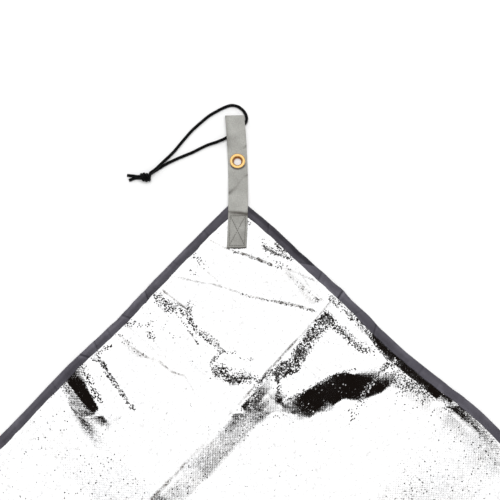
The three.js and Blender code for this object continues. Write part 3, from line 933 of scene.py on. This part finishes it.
binding = {
    "shows": 12,
    "flat": 25,
    "thickness": 0.72,  # a little under the solid's 0.8
    "low": 0.4,  # heights of the two layers' middles
    "high": 2.8,
    "outer": 0.4,  # from the mat's edge line to the turn
    "sewnAt": 10.6,
    "columns": 22,
    "near": 420,  # closer rows up to here
    "step": 1.0,
    "far": 12,
    "seeds": {"north": 21, "east": 22, "south": 23, "west": 24},
}
# creases across the tape of each edge: distance along, slant, depth, reach, how much painted shade lies in
# the crease
tapeCreases = {
    "north": [
        (63, 0.2, 0.35, 4, 0.3), (118, -0.3, 0.3, 5, 0.2), (172, 0.5, 0.5, 4, 0.55), (209, -0.4, 0.5, 4, 0.7),
        (238, 0.3, 0.3, 5, 0.25), (260, 0.4, 0.4, 4, 0.45), (279, -0.5, 0.7, 3, 1.0),
        (330, 0.2, 0.45, 5, 0.3),
    ],
    "east": [
        (58, 0.8, 0.4, 5, 0.3), (126, -1.7, 0.6, 4, 0.7), (148, 0.4, 0.4, 3, 0.5), (182.5, 0.2, 0.75, 3, 1.0),
        (214, -0.4, 0.35, 5, 0.3), (243, 0.5, 0.5, 4, 0.6), (318, 0.1, 0.35, 6, 0.3),
    ],
}
# painted shade on stretches of each tape, and painted light where the amount is below zero: from, to, slant,
# amount on the outer and the inner half
tapePaintedShade = {
    "north": [(8, 60, 0, 0.1, 0.3), (60, 172, 0, 0, 0.32), (172, 279, 0, -0.12, 0.3), (279, 420, 0, 0, 0.35)],
    "east": [(12, 126, -1.7, 0.72, 0.3), (126, 182, 0, 0.05, -0.1), (182, 300, 0, 0, 0.22)],
}
# small kinks of each tape's outer edge: distance along, how far out, reach
tapeKinks = {
    "north": [(168, -0.4, 6), (190, 0.5, 6), (221, -0.5, 6)],
    "east": [(181, 0.7, 7), (200, -0.7, 10), (226, 0.6, 8), (247, -0.6, 7)],
}


def bindingStations(length):
    near = np.arange(edgeFacts["flat"], binding["near"], binding["step"])
    far = np.arange(binding["near"], length - edgeFacts["flat"] - 6, binding["far"])
    return np.concatenate(([0], near, far, [length - edgeFacts["flat"], length]))


def tapePath(points):
    # the tape's middle line: in under the sheet, round its edge and back over it
    bend = (binding["high"] - binding["low"]) / 2
    turn = math.pi * bend
    leg = binding["shows"] - binding["outer"] - bend
    run = points * (2 * leg + turn)
    angle = np.clip((run - leg) / bend, 0, math.pi)
    straight = np.maximum(leg - run, 0) + np.maximum(run - leg - turn, 0)
    inside = binding["outer"] + bend - bend * np.sin(angle) + straight
    z = binding["low"] + bend - bend * np.cos(angle)
    return inside, z, smooth(0.55, 0.75, points)


def makeBinding(edge, tape):
    length = edgeLength(edge)
    stations = bindingStations(length)
    rows = len(stations) - 1
    piece = addGrid(f"binding_tape_{edge}", binding["columns"], rows)
    points = pointsOf(piece)
    inside, z, upper = tapePath(points[:, 0] + 0.5)
    station = np.interp((points[:, 1] + 0.5) * rows, np.arange(rows + 1), stations)
    along = np.clip(station, inside + mat["gap"], length - inside - mat["gap"])
    # small puckers from the sewing, and creases across the tape where the mat was folded
    seed = binding["seeds"][edge]
    level = 0 * inside
    pucker = 0.2 * undulation(along, 0.5 * inside, 6, seed) + 0.25 * undulation(along, level, 28, seed + 10)
    toneAndPaintedShading = 0.16 * undulation(along, 4 * inside, 22, seed + 40) + 0.1 * undulation(along, inside, 5, seed + 50)
    # painted shade and light on stretches of the tape
    for start, stop, slant, outer, inner in tapePaintedShade.get(edge, []):
        at = along - slant * (inside - 6)
        reach = smooth(start - 2, start + 2, at) * (1 - smooth(stop - 1, stop + 1, at))
        toneAndPaintedShading += reach * (outer + (inner - outer) * smooth(4.5, 7.5, inside))
    # each crease is a dent with painted shade in it and a little painted light beside it
    for at, slant, depth, reach, dark in tapeCreases.get(edge, []):
        offset = along - at - slant * (inside - 6)
        pucker -= depth * np.clip(1 - np.abs(offset) / reach, 0, 1)
        toneAndPaintedShading += dark * (bell(offset, 0.9) - 0.3 * bell(offset - 3, 1.6))
    sewn = bell(inside - binding["sewnAt"], 0.7)
    z = z + upper * (np.maximum(pucker, -0.35) - 0.12 * sewn) + 0.2 * upper * smooth(12, 6, inside)
    ends = smooth(14, 30, along) * smooth(14, 30, length - along)
    wobble = 0.6 * undulation(along, level, 9, seed + 20) + 0.4 * undulation(along, level, 30, seed + 30)
    kink = 0.35 * undulation(along, level, 14, seed + 60) + humps(along, tapeKinks.get(edge, []))
    inside = inside + ends * wobble * smooth(3, 10, inside) * upper - kink * ends * smooth(9, 3, inside)
    a = {"north": along, "south": along, "east": inside, "west": mat["length"] - inside}[edge]
    b = {"north": inside, "south": mat["width"] - inside, "east": along, "west": along}[edge]
    x, y = matPlace(a, b)
    z = z + undersideLevel(a, b) - edgeFacts["lift"]
    z = z + upper * np.maximum(foilHeight(a, b)[0], 0)  # it rides on the folds of the foil
    setPoints(piece, np.column_stack((x, y, z)) * mm)
    setAttribute(piece, "toneAndPaintedShading", np.clip(toneAndPaintedShading, -1, 1))
    applyModifier(piece, "SOLIDIFY", thickness=binding["thickness"] * mm, offset=0)
    outwardFaces(piece)
    finishPiece(piece, tape, "tape", f"binding_{edge}")


# straps

strap = {
    "width": 25,
    "thickness": 1.2,
    "cloth": 0.92,  # share of it that the webbing fills
    "pitch": 1.5,
    "sewnEnd": -69,
    "tip": 110.2,
    "tunnel": 73,
    "tunnelHeight": 7,
    "liftOff": 57.7,
    "columns": 36,
    "step": 0.9,
    "eyeletAt": 46.7,
    "hole": 6.2,
    "dent": 0.55,  # share of a crease's depth that shows as form
    "flat": (0.025, 0.3705),
    "level": [  # underside of the lower layer: along, height
        (-69, 1.6), (-58, 2.1), (-46, 2.9), (-34, 3.5), (-16, 3.5), (2, 3.5), (22, 1.1), (36.7, 1.1),
        (57.7, 1.1), (73, 0), (104, 0),
    ],
    "creases": [  # soft folds of the upper layer: points with their depth, reach
        ([(-11.5, 2.5, 0.8), (-7.5, 6.5, 0.7), (-2.5, 11.5, 0.4), (1.5, 17.5, 0.4), (5.5, 23, 0.4),
          (12.5, 27, 0.6)], 2.6),
        ([(-11.5, 3, 1.1), (-6, 8, 0.75), (-2, 12, 0.4)], 4.4),
        ([(6.5, 25.5, 0.2), (12.5, 27.5, 1.0)], 3.2),
        ([(8.5, 64.5, 0.5), (12.5, 67, 1.2)], 2.6),
        ([(-12, 75, 0.3), (0, 77, 0.25), (12, 78, 0.1)], 5),
        ([(-12, -22, 1.1), (-6, -22.4, 1.2), (0, -23.2, 1.3), (6, -24.2, 1.3), (11, -26, 1.2)], 3.6),
    ],
}


def bowAt(bow, along):
    middle = (strap["tip"] + strap["sewnEnd"]) / 2
    half = (strap["tip"] - strap["sewnEnd"]) / 2
    return bow * (1 - ((along - middle) / half) ** 2)


def strapLevel(along):
    rows = np.array(strap["level"])
    return np.interp(along, rows[:, 0], rows[:, 1])


def upperLevel(along):
    laid = strapLevel(along) + strap["pitch"]
    opening = smooth(strap["liftOff"], strap["tunnel"], along)
    return laid + (strap["tunnelHeight"] - strap["thickness"] - laid) * opening


# the webbing's middle line seen from its side: out along the ground, round the tip and back over itself
def strapLine():
    half = strap["thickness"] / 2
    radius = strap["tunnelHeight"] / 2
    centre = strap["tip"] - radius
    out = np.arange(strap["sewnEnd"], centre, strap["step"])
    rows = [(along, strapLevel(along) + half, 0) for along in out]
    for turn in np.radians(np.linspace(-90, 90, 13)):
        reach = radius - half
        rows.append((centre + reach * math.cos(turn), radius + reach * math.sin(turn), 0.5))
    rows += [(along, upperLevel(along) + half, 1) for along in out[::-1]]
    return np.array(rows)


def strapDent(across, along):
    depth = np.zeros_like(across)
    for line, reach in strap["creases"]:
        depth = np.maximum(depth, creaseRise(across, along, line, reach, reach))
    for line in stitchLines:
        pulled = ridge(across, along, line, stitchFacts["pullReach"], stitchFacts["pullReach"])
        depth = np.maximum(depth, stitchFacts["pull"] * smooth(0, 1, pulled))
    return depth


# the sewn box and its cross: across, along
stitchLines = [
    ((-9.8, -66.2), (9.8, -66.2)), ((9.8, -66.2), (9.8, -27.4)), ((9.8, -27.4), (-9.8, -27.4)),
    ((-9.8, -27.4), (-9.8, -66.2)), ((-9.0, -64.8), (9.0, -28.8)), ((9.0, -64.8), (-9.0, -28.8)),
]
stitchFacts = {
    "pitch": 3.0,
    "length": 2.4,
    "thick": 0.65,
    "rounding": 0.26,
    "proud": 0.2,
    "turn": 0.05,  # how far one stitch differs from the next
    "shift": 0.12,
    "pullReach": 1.8,  # the thread pulls the webbing down
    "pull": 0.3,
}


def makeStrapModel():
    line = strapLine()
    rows = len(line)
    piece = addGrid("strapModel", strap["columns"], rows - 1)
    points = pointsOf(piece)
    row = np.rint((points[:, 1] + 0.5) * (rows - 1)).astype(int)
    across = points[:, 0] * strap["width"]
    along = line[row, 0]
    upper = line[row, 2] > 0.9
    dent = strapDent(across, along) * upper
    cup = 0.12 * (across / 12.5) ** 2 * upper * smooth(-20, 0, along) * smooth(100, 80, along)
    fray = 0.7 * undulation(across, 0 * across, 1.3, 51) * smooth(-66.5, -69, along)
    setPoints(piece, np.column_stack((across, along + fray, line[row, 1] - strap["dent"] * dent + cup)))
    # length and width in metres as UV
    corners = np.empty(len(piece.data.loops), dtype=int)
    piece.data.loops.foreach_get("vertex_index", corners)
    uv = np.column_stack((runOf(line[:, :2])[row], across))[corners] * mm
    piece.data.uv_layers[0].data.foreach_set("uv", uv.astype(np.float32).ravel())
    # painted shade in the creases and along the stitches, at the edges, by the tunnel and in the pucker; the
    # sewn end darker all over, and some tone at random
    toneAndPaintedShading = 0.75 * np.clip(dent / 1.1, 0, 1) ** 1.3 + 0.2 * smooth(11.4, 12.4, np.abs(across))
    toneAndPaintedShading += 0.3 * smooth(-22, -26, along) + 0.22 * smooth(-6, -12.5, across) * smooth(62, 72, along)
    toneAndPaintedShading += 0.2 * smooth(58, 66, along) * smooth(88, 76, along) * smooth(14, -6, across)
    puckerShade = bell(along + 24, 2.8) * smooth(-20, 8, across)
    toneAndPaintedShading += 0.4 * puckerShade * (0.8 + 0.5 * undulation(across, along, 4.5, 53))
    toneAndPaintedShading += 0.1 * undulation(across, along, 9, 52)
    # painted shadow below the eyelet, a darker band between the binding and the eyelet, and a painted shadow
    # line along the frayed cut end
    hole = strap["eyeletAt"]
    toneAndPaintedShading += 1.1 * bell(np.hypot(across, along - hole) - 10.6, 1.2) * smooth(hole, hole - 9, along)
    toneAndPaintedShading += 0.16 * smooth(37, 30, along) * smooth(-2, 8, along)
    toneAndPaintedShading = np.maximum(toneAndPaintedShading, 0.9 * smooth(-67.2, -68.6, along + fray))
    setAttribute(piece, "toneAndPaintedShading", np.clip(toneAndPaintedShading, 0, 1))
    applyModifier(piece, "SOLIDIFY", thickness=strap["thickness"] * strap["cloth"], offset=0)
    outwardFaces(piece)
    return piece


def drillStrap(piece, across):
    deselect()
    place = (across, strap["eyeletAt"], 0)
    bpy.ops.mesh.primitive_cylinder_add(vertices=40, radius=strap["hole"], depth=40, location=place)
    drill = bpy.context.object
    bpy.ops.object.transform_apply(location=True)
    applyModifier(piece, "BOOLEAN", operation="DIFFERENCE", object=drill, solver="EXACT")
    bpy.data.objects.remove(drill)


# one stitch, lying along X with its middle at the origin, in mm
def makeStitch():
    deselect()
    bpy.ops.mesh.primitive_cube_add(size=1)
    stitch = nameIt(bpy.context.object, "stitchModel")
    setMode("EDIT")
    bpy.ops.transform.resize(value=(stitchFacts["length"], stitchFacts["thick"], stitchFacts["thick"]))
    bpy.ops.mesh.bevel(offset=stitchFacts["rounding"], segments=1, affect="EDGES")
    setMode("OBJECT")
    return stitch


def stitchPlaces():
    places = []
    for (x0, y0), (x1, y1) in stitchLines:
        length = math.hypot(x1 - x0, y1 - y0)
        count = max(1, round(length / stitchFacts["pitch"]))
        for k in range(count):
            share = (k + 0.5) / count
            places.append((x0 + (x1 - x0) * share, y0 + (y1 - y0) * share, math.atan2(y1 - y0, x1 - x0)))
    return places


def sewStrap(corner, model, stitchModel, webbing, thread):
    name = corner["name"]
    bow = corner["bow"]
    flip = 1 if corner["side"] < 0 else -1
    piece = copyPiece(model, f"webbingStrap_{name}")
    points = pointsOf(piece)
    points[:, 0] = flip * points[:, 0] + bowAt(bow, points[:, 1])
    setPoints(piece, points)
    if flip < 0:
        outwardFaces(piece)
    drillStrap(piece, bowAt(bow, strap["eyeletAt"]))
    setPoints(piece, fromCorner(corner, pointsOf(piece)))
    outwardFaces(piece)
    finishPiece(piece, webbing, "webbing", f"strap_{name}")
    # the stitches, each a copy of the one stitch
    one = pointsOf(stitchModel)
    faces = [tuple(face.vertices) for face in stitchModel.data.polygons]
    draw = random.Random(41 + len(name) + corner["facing"])
    allPoints = []
    allFaces = []
    for x, y, angle in stitchPlaces():
        angle += draw.uniform(-stitchFacts["turn"], stitchFacts["turn"])
        x += draw.uniform(-stitchFacts["shift"], stitchFacts["shift"])
        across = one[:, 0] * math.cos(angle) - one[:, 1] * math.sin(angle) + x
        along = one[:, 0] * math.sin(angle) + one[:, 1] * math.cos(angle) + y
        top = upperLevel(along) + (1 + strap["cloth"]) / 2 * strap["thickness"]
        top = top - strap["dent"] * strapDent(across, along)
        height = one[:, 2] + top + stitchFacts["proud"] - stitchFacts["thick"] / 2
        first = len(allPoints)
        allPoints += np.column_stack((flip * across + bowAt(bow, along), along, height)).tolist()
        allFaces += [tuple(first + k for k in face) for face in faces]
    sewing = newPiece(f"boxStitch_{name}", allPoints, allFaces)
    setPoints(sewing, fromCorner(corner, pointsOf(sewing)))
    outwardFaces(sewing)
    finishPiece(sewing, thread, "webbing")


# eyelets

eyelet = {
    "sides": 56,
    # radius and height, from the lower flange up the barrel's outside, over the roll and down the bore
    "profile": [
        (5.6, 0.0), (9.4, 0.0), (9.9, 0.15), (10.0, 0.4), (9.8, 0.72), (9.3, 0.8), (6.4, 0.8), (6.0, 1.0),
        (6.0, 4.0), (6.3, 4.12), (9.2, 4.12), (9.75, 4.3), (10.0, 4.62), (9.97, 4.98), (9.82, 5.22),
        (9.45, 5.35), (8.9, 5.4), (7.3, 5.4), (6.7, 5.32), (6.3, 5.05), (5.95, 4.6), (5.5, 4.0),
        (5.1, 3.2), (4.88, 2.3), (4.85, 1.4), (5.05, 0.4),
    ],
}


def makeEyeletModel():
    rows = eyelet["profile"]
    deselect()
    bpy.ops.mesh.primitive_circle_add(vertices=eyelet["sides"], radius=rows[0][0], location=(0, 0, 0))
    piece = nameIt(bpy.context.object, "eyeletModel")
    setMode("EDIT")
    bpy.ops.mesh.select_all(action="SELECT")
    for (radius, z), (nextRadius, nextZ) in zip(rows, rows[1:]):
        bpy.ops.mesh.extrude_edges_move(TRANSFORM_OT_translate={"value": (0, 0, nextZ - z)})
        grow = nextRadius / radius
        bpy.ops.transform.resize(value=(grow, grow, 1), center_override=(0, 0, 0))
    # close the last ring on the first
    bpy.ops.mesh.select_all(action="DESELECT")
    bpy.ops.mesh.select_mode(type="EDGE")
    bpy.ops.mesh.select_non_manifold()
    bpy.ops.mesh.bridge_edge_loops()
    setMode("OBJECT")
    outwardFaces(piece)
    return piece


def setEyelet(corner, model, brass):
    piece = copyPiece(model, f"brassEyelet_{corner['name']}")
    points = pointsOf(piece)
    points[:, 0] += bowAt(corner["bow"], strap["eyeletAt"])
    points[:, 1] += strap["eyeletAt"]
    setPoints(piece, fromCorner(corner, points))
    finishPiece(piece, brass, "brass", f"eyelet_{corner['name']}")


# floor and light

studio = {
    "bright": 1.27,
    "brightReach": (23.5, 3.0),  # angle and its soft edge
    "dark": (0.009, 0.0065, 0.0055, 1),
    "darkReach": (48.0, 5.0),
    "darkTurn": -20.0,  # of the dark wall's middle, from straight behind the camera
    "darkFrom": (-0.5, -0.38),  # where the wall begins, as a share of its way
    "side": (0.95, 0.58),  # at the horizon and higher up
    "sideSway": 0.18,
    "lamp": 67.0,
    "lampSize": 3.0,
    "lampPlace": (0.9, 0.5, 3.2),
    "floorSize": 60,
    "floorLevel": -0.4 * mm,
}


def addFloor():
    deselect()
    bpy.ops.mesh.primitive_plane_add(size=studio["floorSize"], location=(0, 0, studio["floorLevel"]))
    floor = nameIt(bpy.context.object, "studioFloor")
    material, nodes, shader = newMaterial("paleFloor")
    cloud = nodes.noise(nodes.place(), 1.5, 2.0)
    pale = nodes.mix(cloud, (0.955, 0.955, 0.955, 1), (0.97, 0.97, 0.97, 1))
    nodes.fill(shader, Base_Color=pale, Roughness=0.9, Specular_IOR_Level=0)
    floor.data.materials.append(material)


def addLight(mirrorWay):
    world = bpy.data.worlds.new("studioRoom")
    bpy.context.scene.world = world
    world.use_nodes = True
    nodes = Nodes(world.node_tree)
    way = nodes.place("Generated")
    angle = nodes.math("DEGREES", nodes.math("ARCCOSINE", nodes.vector("DOT_PRODUCT", way, mirrorWay)))
    reach, edge = studio["brightReach"]
    panel = nodes.span(angle, reach - edge, reach + edge, 1, 0)
    reach, edge = studio["darkReach"]
    room = nodes.span(angle, reach - edge, reach + edge, 0, 1)
    wallWay = -Vector((mirrorWay[0], mirrorWay[1], 0)).normalized()
    wallWay.rotate(Matrix.Rotation(-math.radians(studio["darkTurn"]), 3, "Z"))
    wall = nodes.vector("DOT_PRODUCT", way, wallWay)
    room = nodes.math("MAXIMUM", room, nodes.span(wall, *studio["darkFrom"], 1, 0))
    # the walls: palest at the horizon, with slow changes, so that folds show on the foil from low down
    height = nodes.add("SeparateXYZ", Vector=way).outputs["Z"]
    sway = nodes.span(nodes.noise(way, 2.2, 1.0), 0.35, 0.65, -studio["sideSway"], studio["sideSway"])
    side = nodes.math("ADD", nodes.span(height, 0, 0.7, *studio["side"]), sway)
    shade = nodes.mix(room, studio["dark"], side)
    light = nodes.mix(panel, shade, (studio["bright"],) * 3 + (1,))
    nodes.fill(world.node_tree.nodes["Background"], Color=light)
    deselect()
    bpy.ops.object.light_add(type="AREA", location=studio["lampPlace"])
    lamp = bpy.context.object
    lamp.data.shape = "DISK"
    lamp.data.size = studio["lampSize"]
    lamp.data.energy = studio["lamp"]
    lamp.visible_glossy = False
    lamp.visible_camera = False
    bpy.context.scene.view_settings.view_transform = "Standard"
    print("floor and light set")


mirrorWay = addCamera()
tieAll(makeCordCover())
makeFoilSheet(makeFoil())
tapeLook = makeTape()
for edgeName in ("north", "east", "south", "west"):
    makeBinding(edgeName, tapeLook)
print("binding tape made")
strapModel = makeStrapModel()
stitchModel = makeStitch()
eyeletModel = makeEyeletModel()
webbingLook = makeWebbing()
threadLook = makeThread()
brassLook = makeBrass()
for cornerRow in cornerRows:
    sewStrap(cornerRow, strapModel, stitchModel, webbingLook, threadLook)
    setEyelet(cornerRow, eyeletModel, brassLook)
for spare in (strapModel, stitchModel, eyeletModel):
    bpy.data.objects.remove(spare)
print("straps, stitches and eyelets made")
addFloor()
addLight(mirrorWay)
